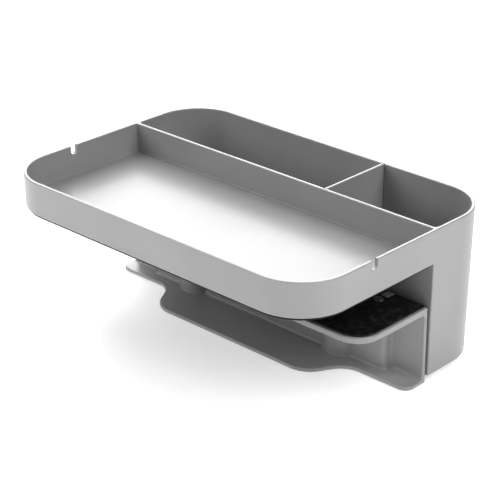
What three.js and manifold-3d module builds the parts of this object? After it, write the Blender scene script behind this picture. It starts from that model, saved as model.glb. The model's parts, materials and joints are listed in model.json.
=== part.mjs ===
// Clamp-on desk organiser: a shallow tray that lies on the desk, a deep two-bay box that
// hangs beyond the desk edge, and a sprung jaw under the tray that grips the desk from below.
// Millimetres, +Z up, +X to the user's right, +Y away from the user over the desk edge.
// The origin is on the ground plane, at the middle of the whole part.

import * as THREE from "three";
import { mergeVertices } from "three/addons/utils/BufferGeometryUtils.js";
import Module from "manifold-3d";

const wasm = await Module();
wasm.setup();

// Overall moulding
const width = 229;
const depth = 156.7;
const rimZ = 91.8;
const cornerRadius = 30;
const wall = 2.1;
const floorThickness = 2.4;
const draft = 0.0125;
const rimRound = 0.6;

// Shallow tray and deep box
const trayBottomZ = 71.5;
const boxBottomZ = 4.2;
const boxFrontY = 23.6; // where the box's front wall meets the tray's underside; it leans back as it goes down
const boxCorner = 0.8;
const boxEdge = 0.6;
const dividerFrontY = 24.35;
const dividerBackY = 26.45;
const trayFillet = 0.6;
const footBead = { depth: 0.6, height: 1.2 };
const boxFillet = 2;
const notch = { y: -26.05, width: 4.5, depth: 5.2, round: 1.5 };

// Lift-out cross divider and its grooves
const cross = { x: 36.5, thickness: 2, groove: 0.9, clearance: 0.3 };

// Grip sheet under the tray
const sheet = { inset: 1.6, thickness: 0.95, gap: 0.25 };

// Jaw bracket
const jaw = {
  halfWidth: 112.3,
  frontY: -32.7,
  backY: 23.45,
  backPlate: 2.4,
  backLean: 0.7,
  footRound: 2.4,
  plateBottomZ: 42.6,
  plateTopZ: 46.2,
  plateCorner: 14,
  flange: 2.4,
  flangeFrontY: 7.85,
  flangeCorner: 5.5,
};
const tongue = { frontY: -14.85, halfFront: 57.8, halfNeck: 70.7, corner: 9, neck: 8 };
const pocket = { halfWidth: 90.3, frontY: 15.45, wall: 2, footRound: 0.8, corner: 3, root: 2.6 };
const boss = { x: 56.7, y: 21.75, radius: 11.8, wall: 2 };
const padGrip = { inset: 1.3, bottomZ: 46.45, thickness: 0.75 };

// Slide mechanism, one set behind each half-round boss
const pin = { y: 16, radius: 2, hole: 2.25, headRadius: 3.6, headHeight: 1, topZ: 44.4 };
const block = { bottomZ: 5.5, height: 12, headRadius: 9.3, neck: 8, foot: 18 };
const cover = { thickness: 1.8, frontY: 20.25, side: 0.4, slotWidth: 8.8, slotTop: 35.3 };
const bumper = { bottomZ: 4.2, thickness: 1, outer: 3.9, inner: 2.35 };
const spring = { wire: 0.4, radius: 3.1, turns: 7 };
const blockScrewZ = [10.7, 15.4];
const coverScrewSpots = [[-84, 22.6], [84, 22.6], [-28, 11], [28, 11], [-28, 34], [28, 34]];
const padScrew = { x: 87.8, y: 11.95, headRadius: 3, bossRadius: 3.8, bossBottomZ: 36.5 };
const locator = { x: 88, y: 19.3, halfWidth: 2.6, halfDepth: 3.2 };

const colours = {
  shell: 0xb9b9b9,
  black: 0x16171a,
  steel: 0xb4b7ba,
  nylon: 0xe6e4de,
};

// ---------- shape helpers ----------

function finish(name, colour, roughness = 0.4, metalness = 0) {
  return new THREE.MeshStandardMaterial({ name, color: colour, roughness, metalness });
}

function bare(geometry) {
  geometry.deleteAttribute("normal");
  geometry.deleteAttribute("uv");
  return mergeVertices(geometry, 1e-4);
}

function solid(geometry) {
  const merged = bare(geometry);
  const vertProperties = new Float32Array(merged.attributes.position.array);
  const triVerts = new Uint32Array(merged.index.array);
  return new wasm.Manifold(new wasm.Mesh({ numProp: 3, vertProperties, triVerts }));
}

function geometryOf(shape) {
  const mesh = shape.getMesh();
  const geometry = new THREE.BufferGeometry();
  const positions = new Float32Array(mesh.vertProperties);
  geometry.setAttribute("position", new THREE.BufferAttribute(positions, 3));
  geometry.setIndex(new THREE.BufferAttribute(new Uint32Array(mesh.triVerts), 1));
  return geometry;
}

function unite(...shapes) {
  return shapes.reduce((sum, shape) => sum.add(shape));
}

function cut(shape, ...tools) {
  return tools.reduce((left, tool) => left.subtract(tool), shape);
}

// Moves a counter-clockwise outline of [x, y, radius] corners inwards by a distance.
function insetCorners(corners, inset) {
  const count = corners.length;
  return corners.map(([x, y, radius], i) => {
    const here = new THREE.Vector2(x, y);
    const before = corners[(i + count - 1) % count];
    const after = corners[(i + 1) % count];
    const into = here.clone().sub(new THREE.Vector2(before[0], before[1])).normalize();
    const out = new THREE.Vector2(after[0], after[1]).sub(here).normalize();
    const turn = into.cross(out);
    const shift = out.clone().sub(into).multiplyScalar(inset / turn);
    const rounded = Math.max(radius - Math.sign(turn) * inset, 0.2);
    return [x + shift.x, y + shift.y, rounded];
  });
}

// Turns [x, y, radius] corners into points, with the same number of points for each corner.
function roundOutline(corners, steps) {
  const count = corners.length;
  const points = [];
  corners.forEach(([x, y, radius], i) => {
    const here = new THREE.Vector2(x, y);
    const before = corners[(i + count - 1) % count];
    const after = corners[(i + 1) % count];
    const into = here.clone().sub(new THREE.Vector2(before[0], before[1])).normalize();
    const out = new THREE.Vector2(after[0], after[1]).sub(here).normalize();
    const turn = Math.atan2(into.cross(out), into.dot(out));
    const reach = radius * Math.tan(Math.abs(turn) / 2);
    const side = new THREE.Vector2(-into.y, into.x).multiplyScalar(Math.sign(turn) * radius);
    const start = here.clone().addScaledVector(into, -reach);
    const centre = start.clone().add(side);
    for (let step = 0; step <= steps; step += 1) {
      points.push(start.clone().rotateAround(centre, (turn * step) / steps));
    }
  });
  return points;
}

function box4(minX, maxX, minY, maxY, radii) {
  return [
    [minX, minY, radii[0]],
    [maxX, minY, radii[1]],
    [maxX, maxY, radii[2]],
    [minX, maxY, radii[3]],
  ];
}

// A closed solid through one outline per level; levels are [z, inset], lowest first.
function loft(corners, levels, steps = 6) {
  const rings = levels.map(([, inset]) => roundOutline(insetCorners(corners, inset), steps));
  const size = rings[0].length;
  const positions = [];
  rings.forEach((ring, level) => {
    ring.forEach((point) => positions.push(point.x, point.y, levels[level][0]));
  });
  const index = [];
  const last = (rings.length - 1) * size;
  for (let level = 0; level < rings.length - 1; level += 1) {
    for (let i = 0; i < size; i += 1) {
      const a = level * size + i;
      const b = level * size + ((i + 1) % size);
      index.push(a, b, b + size, a, b + size, a + size);
    }
  }
  THREE.ShapeUtils.triangulateShape(rings[0], []).forEach(([a, b, c]) => index.push(a, c, b));
  THREE.ShapeUtils.triangulateShape(rings[rings.length - 1], []).forEach(([a, b, c]) => {
    index.push(last + a, last + b, last + c);
  });
  const geometry = new THREE.BufferGeometry();
  geometry.setAttribute("position", new THREE.Float32BufferAttribute(positions, 3));
  geometry.setIndex(index);
  return solid(geometry);
}

// Levels of a quarter-round edge: at the bottom it grows outwards, at the top it closes in.
function edgeRound(z, radius, inset, side, steps = 3) {
  const levels = [];
  for (let step = 0; step <= steps; step += 1) {
    const angle = (Math.PI / 2) * (step / steps);
    if (side === "bottom") {
      levels.push([z + radius * (1 - Math.cos(angle)), inset + radius * (1 - Math.sin(angle))]);
    } else {
      levels.push([z - radius * (1 - Math.sin(angle)), inset + radius * (1 - Math.cos(angle))]);
    }
  }
  return levels;
}

function block3(minX, maxX, minY, maxY, minZ, maxZ) {
  const geometry = new THREE.BoxGeometry(maxX - minX, maxY - minY, maxZ - minZ);
  geometry.translate((minX + maxX) / 2, (minY + maxY) / 2, (minZ + maxZ) / 2);
  return solid(geometry);
}

function post(x, y, minZ, maxZ, radius, segments = 24) {
  const geometry = new THREE.CylinderGeometry(radius, radius, maxZ - minZ, segments);
  geometry.rotateX(Math.PI / 2);
  geometry.translate(x, y, (minZ + maxZ) / 2);
  return solid(geometry);
}

function rodY(x, z, minY, maxY, radius, segments = 20) {
  const geometry = new THREE.CylinderGeometry(radius, radius, maxY - minY, segments);
  geometry.translate(x, (minY + maxY) / 2, z);
  return solid(geometry);
}

// Extrudes [y, z] points along X.
function profileX(points, minX, maxX) {
  const shape = new THREE.Shape(points.map(([y, z]) => new THREE.Vector2(y, z)));
  const geometry = new THREE.ExtrudeGeometry(shape, { depth: maxX - minX, bevelEnabled: false });
  geometry.rotateX(Math.PI / 2);
  geometry.rotateZ(Math.PI / 2);
  geometry.translate(minX, 0, 0);
  return solid(geometry);
}

// Extrudes an XZ outline along Y; rounded corners as in roundOutline.
function panelY(corners, minY, maxY, steps = 3) {
  const shape = new THREE.Shape(roundOutline(corners, steps));
  const geometry = new THREE.ExtrudeGeometry(shape, { depth: maxY - minY, bevelEnabled: false });
  geometry.rotateX(Math.PI / 2);
  geometry.translate(0, maxY, 0);
  return solid(geometry);
}

function arcPoints(centreY, centreZ, radius, from, to, steps) {
  const points = [];
  for (let step = 0; step <= steps; step += 1) {
    const angle = THREE.MathUtils.degToRad(from + ((to - from) * step) / steps);
    points.push([centreY + radius * Math.cos(angle), centreZ + radius * Math.sin(angle)]);
  }
  return points;
}

const group = new THREE.Group();

function add(name, geometry, material) {
  const mesh = new THREE.Mesh(geometry, material);
  mesh.name = name;
  group.add(mesh);
  return mesh;
}

// ---------- shell: tray, deep box and long divider in one moulding ----------

function shellOutside() {
  const halfX = width / 2;
  const halfY = depth / 2;
  const round = cornerRadius;
  const plan = box4(-halfX, halfX, -halfY, halfY, [round, round, round, round]);
  const lean = (z) => draft * (rimZ - z);
  const levels = [
    ...edgeRound(boxBottomZ, boxEdge, lean(boxBottomZ + boxEdge), "bottom"),
    ...edgeRound(rimZ, rimRound, 0, "top"),
  ];
  const whole = loft(plan, levels, 14);
  const trayPlan = box4(-halfX, halfX, -halfY, halfY + 20, [round, round, 5, 5]);
  const trayLevels = [
    ...edgeRound(trayBottomZ, 1.2, lean(trayBottomZ + 1.2) - 0.02, "bottom"),
    [rimZ + 5, -2],
  ];
  const boxHalf = halfX - lean(trayBottomZ) + 0.05;
  const boxPlan = box4(-boxHalf, boxHalf, boxFrontY, halfY + 20, [boxCorner, boxCorner, 5, 5]);
  const boxLevels = [boxBottomZ - 5, rimZ + 5].map((z) => [z, draft * (trayBottomZ - z)]);
  const tray = loft(trayPlan, trayLevels, 14);
  const box = loft(boxPlan, boxLevels);
  return whole.intersect(unite(tray, box));
}

function cavity(plan, floorZ, fillet, steps) {
  const lean = (z) => draft * (rimZ - z);
  const flare = edgeRound(rimZ, rimRound, 0, "top").map(([z, inset]) => [z, -inset]);
  const levels = [
    ...edgeRound(floorZ, fillet, lean(floorZ + fillet), "bottom"),
    ...flare,
    [rimZ + 2, -rimRound],
  ];
  return loft(plan, levels, steps);
}

function trayCavity() {
  const halfX = width / 2 - wall;
  const frontY = -depth / 2 + wall;
  const round = cornerRadius - wall;
  const plan = box4(-halfX, halfX, frontY, dividerFrontY, [round, round, 1.6, 1.6]);
  return cavity(plan, trayBottomZ + floorThickness, trayFillet, 14);
}

function boxCavity() {
  const halfX = width / 2 - wall;
  const backY = depth / 2 - wall;
  const round = cornerRadius - wall;
  const plan = box4(-halfX, halfX, dividerBackY, backY, [2.2, 2.2, round, round]);
  return cavity(plan, boxBottomZ + floorThickness, boxFillet, 14);
}

// Side outline of the cross divider; grow enlarges it into the grooves that hold it.
function crossOutline(grow, topZ) {
  const floorZ = boxBottomZ + floorThickness;
  const backTop = depth / 2 - wall + cross.groove;
  const backBottom = backTop - draft * (rimZ - floorZ);
  const frontY = dividerBackY - cross.groove;
  const inset = cross.clearance - grow;
  return [
    [frontY + inset, floorZ + 0.05 + inset],
    [backBottom - inset, floorZ + 0.05 + inset],
    [backTop - inset, topZ],
    [frontY + inset, topZ],
  ];
}

function makeShell() {
  const halfNotch = notch.width / 2;
  const notchLow = rimZ - notch.depth;
  const notchSides = [
    ...arcPoints(notch.y - halfNotch + notch.round, notchLow + notch.round, notch.round, 180, 270, 3),
    ...arcPoints(notch.y + halfNotch - notch.round, notchLow + notch.round, notch.round, 270, 360, 3),
    [notch.y + halfNotch, rimZ + 3],
    [notch.y - halfNotch, rimZ + 3],
  ];
  const half = cross.thickness / 2 + cross.clearance;
  const grooves = profileX(crossOutline(cross.clearance, rimZ + 3), cross.x - half, cross.x + half);
  const screwHoles = [-boss.x, boss.x].flatMap((x) =>
    blockScrewZ.map((z) => rodY(x, z, boxFrontY - 1, dividerBackY + 3, 1.75)),
  );
  const beadTopZ = trayBottomZ + floorThickness + footBead.height;
  const bead = profileX(
    [
      [dividerFrontY - footBead.depth, trayBottomZ + 1],
      [dividerFrontY + 0.5, trayBottomZ + 1],
      [dividerFrontY + 0.5, beadTopZ],
      [dividerFrontY - footBead.depth + 0.3, beadTopZ],
      [dividerFrontY - footBead.depth, beadTopZ - 0.3],
    ],
    -width / 2 + 1,
    width / 2 - 1,
  );
  const shape = cut(
    unite(cut(shellOutside(), trayCavity(), boxCavity()), bead),
    profileX(notchSides, -width, width),
    grooves,
    ...screwHoles,
  );
  add("shell", geometryOf(shape), finish("moulded ABS", colours.shell, 0.35));
}

function makeCrossDivider() {
  const half = cross.thickness / 2;
  const section = [
    [cross.x - half, boxBottomZ - 1, 0.2],
    [cross.x + half, boxBottomZ - 1, 0.2],
    [cross.x + half, rimZ, rimRound],
    [cross.x - half, rimZ, rimRound],
  ];
  const slab = panelY(section, dividerBackY - 5, depth / 2 + 5);
  const side = profileX(crossOutline(0, rimZ + 1), cross.x - 5, cross.x + 5);
  add("cross_divider", geometryOf(slab.intersect(side)), finish("moulded ABS", colours.shell, 0.35));
}

function makeGripSheet() {
  const halfX = width / 2 - sheet.inset;
  const frontY = -depth / 2 + sheet.inset;
  const round = cornerRadius - sheet.inset;
  const plan = box4(-halfX, halfX, frontY, boxFrontY - 1.2, [round, round, 2, 2]);
  const topZ = trayBottomZ - sheet.gap;
  const shape = loft(plan, [[topZ - sheet.thickness, 0], [topZ, 0]], 12);
  add("tray_grip_sheet", geometryOf(shape), finish("black rubber sheet", colours.black, 0.8));
}

// ---------- jaw: bracket, cover, pad and slide parts ----------

function flangePlan() {
  const half = jaw.halfWidth;
  const side = [
    [tongue.halfFront, tongue.frontY, tongue.corner],
    [tongue.halfNeck, jaw.flangeFrontY, tongue.neck],
    [half, jaw.flangeFrontY, jaw.flangeCorner],
    [half, jaw.backY, 0.5],
  ];
  const mirrored = [...side].reverse().map(([x, y, radius]) => [-x, y, radius]);
  return [...side, ...mirrored];
}

function bracketSkin() {
  const half = jaw.halfWidth;
  const plateBackY = jaw.backY - jaw.backLean;
  const platePlan = box4(-half, half, jaw.frontY, plateBackY, [jaw.plateCorner, jaw.plateCorner, 0.6, 0.6]);
  const plateLevels = [
    ...edgeRound(jaw.plateBottomZ, 0.4, 0, "bottom", 2),
    ...edgeRound(jaw.plateTopZ, 0.9, 0, "top"),
  ];
  const plate = loft(platePlan, plateLevels, 10);
  const flangeLevels = [
    ...edgeRound(0, 0.4, 0, "bottom", 2),
    ...edgeRound(jaw.flange, 0.7, 0, "top"),
  ];
  const flange = loft(flangePlan(), flangeLevels, 8);
  const frontY = jaw.backY - jaw.backPlate;
  const back = profileX(
    [
      [jaw.backY, 0.4],
      [plateBackY, jaw.plateTopZ - 1.2],
      [frontY - 3, jaw.plateTopZ - 1.2],
      ...arcPoints(frontY - 3, jaw.plateBottomZ - 3, 3, 90, 0, 4),
      ...arcPoints(frontY - jaw.footRound, jaw.flange + jaw.footRound, jaw.footRound, 0, -90, 4),
      [frontY - jaw.footRound, 0.4],
    ],
    -half,
    half,
  );
  return unite(plate, flange, back);
}

function pocketOutside() {
  const foot = edgeRound(jaw.flange, pocket.footRound, 0, "bottom").map(([z, inset]) => {
    return [z, -inset];
  });
  const levels = [[jaw.flange - 1, -pocket.footRound], ...foot, [jaw.plateBottomZ + 1, 0]];
  const half = pocket.halfWidth;
  const plan = box4(-half, half, pocket.frontY, jaw.backY - 0.5, [pocket.corner, pocket.corner, 0.9, 0.9]);
  const limit = block3(-half - 5, half + 5, 0, jaw.backY - 1.2, -1, jaw.plateTopZ);
  const rootY = jaw.backY - jaw.backPlate;
  const roots = [-1, 1].map((side) => {
    const centreX = side * (half + pocket.root);
    const strip = block3(
      Math.min(side * (half - 1), centreX),
      Math.max(side * (half - 1), centreX),
      rootY - pocket.root,
      rootY + 0.5,
      jaw.flange - 1,
      jaw.plateBottomZ + 1,
    );
    return cut(strip, post(centreX, rootY - pocket.root, 0, 60, pocket.root, 32));
  });
  const bulges = [-boss.x, boss.x].map((x) => {
    const square = box4(
      x - boss.radius,
      x + boss.radius,
      boss.y - boss.radius,
      boss.y + boss.radius,
      Array(4).fill(boss.radius - 0.01),
    );
    return loft(square, levels, 9);
  });
  return unite(unite(loft(plan, levels, 4), ...bulges).intersect(limit), ...roots);
}

function pocketInside() {
  const half = pocket.halfWidth - pocket.wall;
  const frontY = pocket.frontY + pocket.wall;
  const room = block3(-half, half, frontY, jaw.backY + 1, jaw.flange, jaw.plateBottomZ);
  const rounds = [-boss.x, boss.x].map((x) =>
    post(x, boss.y, jaw.flange, jaw.plateBottomZ, boss.radius - boss.wall, 32),
  );
  const bossLimit = block3(-half, half, 0, jaw.backY, 0, jaw.plateTopZ);
  return unite(room, unite(...rounds).intersect(bossLimit));
}

function makeBracket() {
  const posts = coverScrewSpots.map(([x, z]) =>
    rodY(x, z, pocket.frontY + 1, cover.frontY - 0.3, 3),
  );
  const pinBosses = [-boss.x, boss.x].map((x) => post(x, pin.y, 1, 3.9, 4));
  const padBosses = [-padScrew.x, padScrew.x].map((x) =>
    post(x, padScrew.y, padScrew.bossBottomZ, jaw.plateBottomZ + 1, padScrew.bossRadius, 20),
  );
  const padTopZ = padGrip.bottomZ + padGrip.thickness;
  const lugLevels = [[jaw.plateTopZ - 1, 0], [padTopZ - 0.3, 0], [padTopZ, 0.3]];
  const locators = [-locator.x, locator.x].map((x) => {
    const lowY = locator.y - locator.halfDepth;
    const highY = locator.y + locator.halfDepth;
    const plan = box4(x - locator.halfWidth, x + locator.halfWidth, lowY, highY, [1, 1, 1, 1]);
    return loft(plan, lugLevels, 3);
  });
  const pilots = coverScrewSpots.map(([x, z]) =>
    rodY(x, z, pocket.frontY + 1, jaw.backY, 1.3, 16),
  );
  const padPilots = [-padScrew.x, padScrew.x].map((x) =>
    post(x, padScrew.y, padScrew.bossBottomZ + 1.5, jaw.plateTopZ + 1, 1.6, 20),
  );
  const pinHoles = [-boss.x, boss.x].flatMap((x) => [
    post(x, pin.y, -1, 5, pin.hole),
    post(x, pin.y, -1, 1.4, pin.headRadius + 0.4),
    post(x, pin.y, jaw.plateBottomZ - 1, pin.topZ + 0.3, pin.hole),
  ]);
  const hollow = cut(unite(bracketSkin(), pocketOutside()), pocketInside());
  const shape = cut(
    unite(hollow, ...posts, ...pinBosses, ...padBosses, ...locators),
    ...pilots,
    ...padPilots,
    ...pinHoles,
  );
  add("jaw_bracket", geometryOf(shape), finish("moulded ABS", colours.shell, 0.35));
}

function makeCover() {
  const half = pocket.halfWidth - pocket.wall - cover.side;
  const lowZ = jaw.flange + cover.side;
  const highZ = jaw.plateBottomZ - cover.side;
  const backY = cover.frontY + cover.thickness;
  const plan = [
    [-half, lowZ, 1],
    [half, lowZ, 1],
    [half, highZ, 1],
    [-half, highZ, 1],
  ];
  const slots = [-boss.x, boss.x].map((x) => {
    const side = cover.slotWidth / 2;
    const corners = box4(x - side, x + side, block.bottomZ - 0.5, cover.slotTop, [1, 1, 2, 2]);
    return panelY(corners, cover.frontY - 1, backY + 1);
  });
  const holes = coverScrewSpots.flatMap(([x, z]) => {
    const sink = new THREE.CylinderGeometry(2.85, 1.35, 1.5, 20);
    sink.translate(x, backY - 0.75 + 0.1, z);
    return [rodY(x, z, cover.frontY - 1, backY + 1, 1.35), solid(sink)];
  });
  const shape = cut(panelY(plan, cover.frontY, backY), ...slots, ...holes);
  add("jaw_cover", geometryOf(shape), finish("moulded ABS", colours.shell, 0.4));
}

function makeJawPad() {
  const half = jaw.halfWidth - padGrip.inset;
  const round = jaw.plateCorner - padGrip.inset;
  const plan = box4(-half, half, jaw.frontY + padGrip.inset, jaw.backY - 1.3, [round, round, 1, 1]);
  const topZ = padGrip.bottomZ + padGrip.thickness;
  const pad = loft(plan, [[padGrip.bottomZ, 0], [topZ - 0.25, 0], [topZ, 0.25]], 10);
  const openings = [-1, 1].flatMap((side) => [
    post(side * padScrew.x, padScrew.y, padGrip.bottomZ - 1, topZ + 1, padScrew.headRadius + 0.4),
    block3(
      side * locator.x - locator.halfWidth - 0.4,
      side * locator.x + locator.halfWidth + 0.4,
      locator.y - locator.halfDepth - 0.4,
      locator.y + locator.halfDepth + 0.4,
      padGrip.bottomZ - 1,
      topZ + 1,
    ),
  ]);
  add("jaw_grip_pad", geometryOf(cut(pad, ...openings)), finish("black rubber", colours.black, 0.85));
}

function turned(profile, segments) {
  return new THREE.LatheGeometry(profile.map(([r, y]) => new THREE.Vector2(r, y)), segments);
}

function makeGuidePin(side, sign) {
  const profile = [
    [0, 0.2],
    [pin.headRadius - 0.3, 0.2],
    [pin.headRadius, 0.5],
    [pin.headRadius, 0.2 + pin.headHeight],
    [pin.radius, 0.2 + pin.headHeight],
    [pin.radius, pin.topZ - 0.4],
    [pin.radius - 0.4, pin.topZ],
    [0, pin.topZ],
  ];
  const geometry = turned(profile, 20);
  geometry.rotateX(Math.PI / 2);
  geometry.translate(sign * boss.x, pin.y, 0);
  add(`guide_pin_${side}`, geometry, finish("zinc steel", colours.steel, 0.3, 1));
}

function makeBumper(side, sign) {
  const profile = [
    [bumper.inner, bumper.bottomZ],
    [bumper.outer, bumper.bottomZ],
    [bumper.outer, bumper.bottomZ + bumper.thickness],
    [bumper.inner, bumper.bottomZ + bumper.thickness],
    [bumper.inner, bumper.bottomZ],
  ];
  const geometry = turned(profile, 20);
  geometry.rotateX(Math.PI / 2);
  geometry.translate(sign * boss.x, pin.y, 0);
  add(`stop_bumper_${side}`, geometry, finish("black rubber", colours.black, 0.85));
}

class Helix extends THREE.Curve {
  constructor(radius, turns, height) {
    super();
    Object.assign(this, { radius, turns, height });
  }

  getPoint(t, target = new THREE.Vector3()) {
    const angle = 2 * Math.PI * this.turns * t;
    const x = this.radius * Math.cos(angle);
    const y = this.radius * Math.sin(angle);
    return target.set(x, y, this.height * t);
  }
}

function makeSpring(side, sign) {
  const lowZ = block.bottomZ + block.height + 0.3 + spring.wire;
  const highZ = jaw.plateBottomZ - 0.3 - spring.wire;
  const path = new Helix(spring.radius, spring.turns, highZ - lowZ);
  const wire = new THREE.Shape().absarc(0, 0, spring.wire, 0, 2 * Math.PI);
  const geometry = new THREE.ExtrudeGeometry(wire, {
    steps: spring.turns * 12,
    curveSegments: 3,
    bevelEnabled: false,
    extrudePath: path,
  });
  geometry.translate(sign * boss.x, pin.y, lowZ);
  add(`jaw_spring_${side}`, bare(geometry), finish("spring steel", colours.steel, 0.3, 1));
}

// T-shaped guide: its head runs inside the boss, its neck passes the cover's slot and its
// foot is screwed to the box's front wall.
function makeSlideBlock(side, sign) {
  const x = sign * boss.x;
  const topZ = block.bottomZ + block.height;
  const headBackY = cover.frontY - 0.3;
  const footFrontY = cover.frontY + cover.thickness + 0.25;
  const footBackY = boxFrontY + 0.4;
  const disc = post(x, boss.y, block.bottomZ, topZ, block.headRadius, 36);
  const head = disc.intersect(block3(x - 20, x + 20, 0, headBackY, 0, 60));
  const halfNeck = block.neck / 2;
  const halfFoot = block.foot / 2;
  const neck = block3(x - halfNeck, x + halfNeck, headBackY - 1, footBackY - 0.4, block.bottomZ, topZ);
  const foot = block3(x - halfFoot, x + halfFoot, footFrontY, footBackY, block.bottomZ, topZ);
  const pilots = blockScrewZ.map((z) => rodY(x, z, 18.8, boxFrontY + 1, 1.65, 16));
  const bore = post(x, pin.y, 0, 60, pin.hole);
  const shape = cut(unite(head, neck, foot), bore, ...pilots);
  add(`slide_block_${side}`, geometryOf(shape), finish("nylon", colours.nylon, 0.5));
}

function makeBlockScrew(side, sign, place, z) {
  const headY = dividerBackY + draft * (rimZ - z) + 0.3;
  const tipY = 19.1;
  const profile = [
    [0, tipY],
    [1, tipY],
    [1.4, tipY + 0.8],
    [1.4, headY],
    [2.2, headY],
    [2.2, headY + 1],
    [1.6, headY + 1.6],
    [0.8, headY + 1.6],
    [0.8, headY + 0.7],
    [0, headY + 0.7],
  ];
  const geometry = turned(profile, 16);
  geometry.translate(sign * boss.x, 0, z);
  add(`block_screw_${side}_${place}`, geometry, finish("zinc steel", colours.steel, 0.3, 1));
}

function makeCoverScrew(number, x, z) {
  const backY = cover.frontY + cover.thickness;
  const profile = [
    [0, 16.7],
    [0.8, 16.7],
    [1, 17.2],
    [1, backY - 1.3],
    [2.3, backY - 0.1],
    [0.9, backY - 0.1],
    [0.7, backY - 0.8],
    [0, backY - 0.8],
  ];
  const geometry = turned(profile, 12);
  geometry.translate(x, 0, z);
  add(`cover_screw_${number}`, geometry, finish("zinc steel", colours.steel, 0.3, 1));
}

function makePadScrew(side, sign) {
  const topZ = padGrip.bottomZ + padGrip.thickness;
  const lowZ = padScrew.bossBottomZ + 2.2;
  const profile = [
    [0, lowZ],
    [1, lowZ],
    [1.3, lowZ + 0.6],
    [1.3, padGrip.bottomZ],
    [padScrew.headRadius, padGrip.bottomZ],
    [padScrew.headRadius, topZ - 0.2],
    [padScrew.headRadius - 0.2, topZ],
    [0, topZ],
  ];
  const geometry = turned(profile, 20);
  geometry.rotateX(Math.PI / 2);
  geometry.translate(sign * padScrew.x, padScrew.y, 0);
  add(`pad_screw_${side}`, geometry, finish("zinc steel", colours.steel, 0.3, 1));
}

makeShell();
makeCrossDivider();
makeGripSheet();
makeBracket();
makeCover();
makeJawPad();
[["left", -1], ["right", 1]].forEach(([side, sign]) => {
  makeSlideBlock(side, sign);
  makeGuidePin(side, sign);
  makeBumper(side, sign);
  makeSpring(side, sign);
  makeBlockScrew(side, sign, "low", blockScrewZ[0]);
  makeBlockScrew(side, sign, "high", blockScrewZ[1]);
  makePadScrew(side, sign);
});
coverScrewSpots.forEach(([x, z], index) => makeCoverScrew(index + 1, x, z));

export default group;
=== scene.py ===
import json
import math

import bpy
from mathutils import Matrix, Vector


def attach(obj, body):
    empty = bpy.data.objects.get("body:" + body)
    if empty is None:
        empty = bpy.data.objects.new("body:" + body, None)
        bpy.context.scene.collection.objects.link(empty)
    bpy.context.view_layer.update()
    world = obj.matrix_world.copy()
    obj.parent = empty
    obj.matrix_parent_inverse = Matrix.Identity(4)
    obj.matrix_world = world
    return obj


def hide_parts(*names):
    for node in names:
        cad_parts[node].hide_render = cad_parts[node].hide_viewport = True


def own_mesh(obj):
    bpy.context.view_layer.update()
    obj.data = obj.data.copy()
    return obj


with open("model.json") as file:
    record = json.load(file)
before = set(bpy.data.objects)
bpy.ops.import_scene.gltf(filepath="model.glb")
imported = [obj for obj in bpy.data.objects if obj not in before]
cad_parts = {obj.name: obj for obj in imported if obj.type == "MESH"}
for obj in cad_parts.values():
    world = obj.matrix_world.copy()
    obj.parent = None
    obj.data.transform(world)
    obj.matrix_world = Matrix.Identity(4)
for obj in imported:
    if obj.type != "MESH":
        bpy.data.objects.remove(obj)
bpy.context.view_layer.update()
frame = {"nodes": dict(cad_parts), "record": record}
nodes = frame["nodes"]
mm = 0.001
print("frame loaded:", len(nodes), "nodes")


# colours are written as sRGB hex and turned linear here
def linear(hexColour):
    parts = [int(hexColour[i:i + 2], 16) / 255 for i in (1, 3, 5)]
    return tuple(c / 12.92 if c <= 0.04045 else ((c + 0.055) / 1.055) ** 2.4 for c in parts) + (1.0,)


# adds one node, sets its values and sockets, and links what feeds it
def addNode(tree, kind, values=None, sockets=None, links=None):
    node = tree.nodes.new(kind)
    for key, value in (values or {}).items():
        setattr(node, key, value)
    for key, value in (sockets or {}).items():
        node.inputs[key].default_value = value
    for key, source in (links or {}).items():
        tree.links.new(source, node.inputs[key])
    return node


def startMaterial(name, shaderSockets):
    material = bpy.data.materials.new(name)
    material.use_nodes = True
    tree = material.node_tree
    tree.nodes.clear()
    shader = addNode(tree, "ShaderNodeBsdfPrincipled", sockets=shaderSockets)
    addNode(tree, "ShaderNodeOutputMaterial", links={"Surface": shader.outputs["BSDF"]})
    coords = addNode(tree, "ShaderNodeTexCoord").outputs["Object"]
    return material, tree, shader, coords


def feed(tree, shader, sources):
    for socket, source in sources.items():
        tree.links.new(source, shader.inputs[socket])


# sets a colour ramp to blend from one colour to another between two levels
def blend(ramp, levels, colours):
    for element, position, colour in zip(ramp.color_ramp.elements, levels, colours):
        element.position = position
        element.color = linear(colour)
    return ramp.outputs["Color"]


# Light grey ABS from a spark-eroded mould: satin, with a fine even grain and faint flow clouds.
absGrey = {
    "base": "#A0A0A0",
    "cloud": "#A5A5A5",
    "cloudLevels": (0.35, 0.65),
    "cloudMm": 60,
    "roughness": (0.30, 0.38),
    "grainMm": 0.45,       # spark grain is about 0.1 mm; drawn coarser so that it shows
    "grainDepth": 0.012,
    "grainStrength": 0.25,
}


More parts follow.
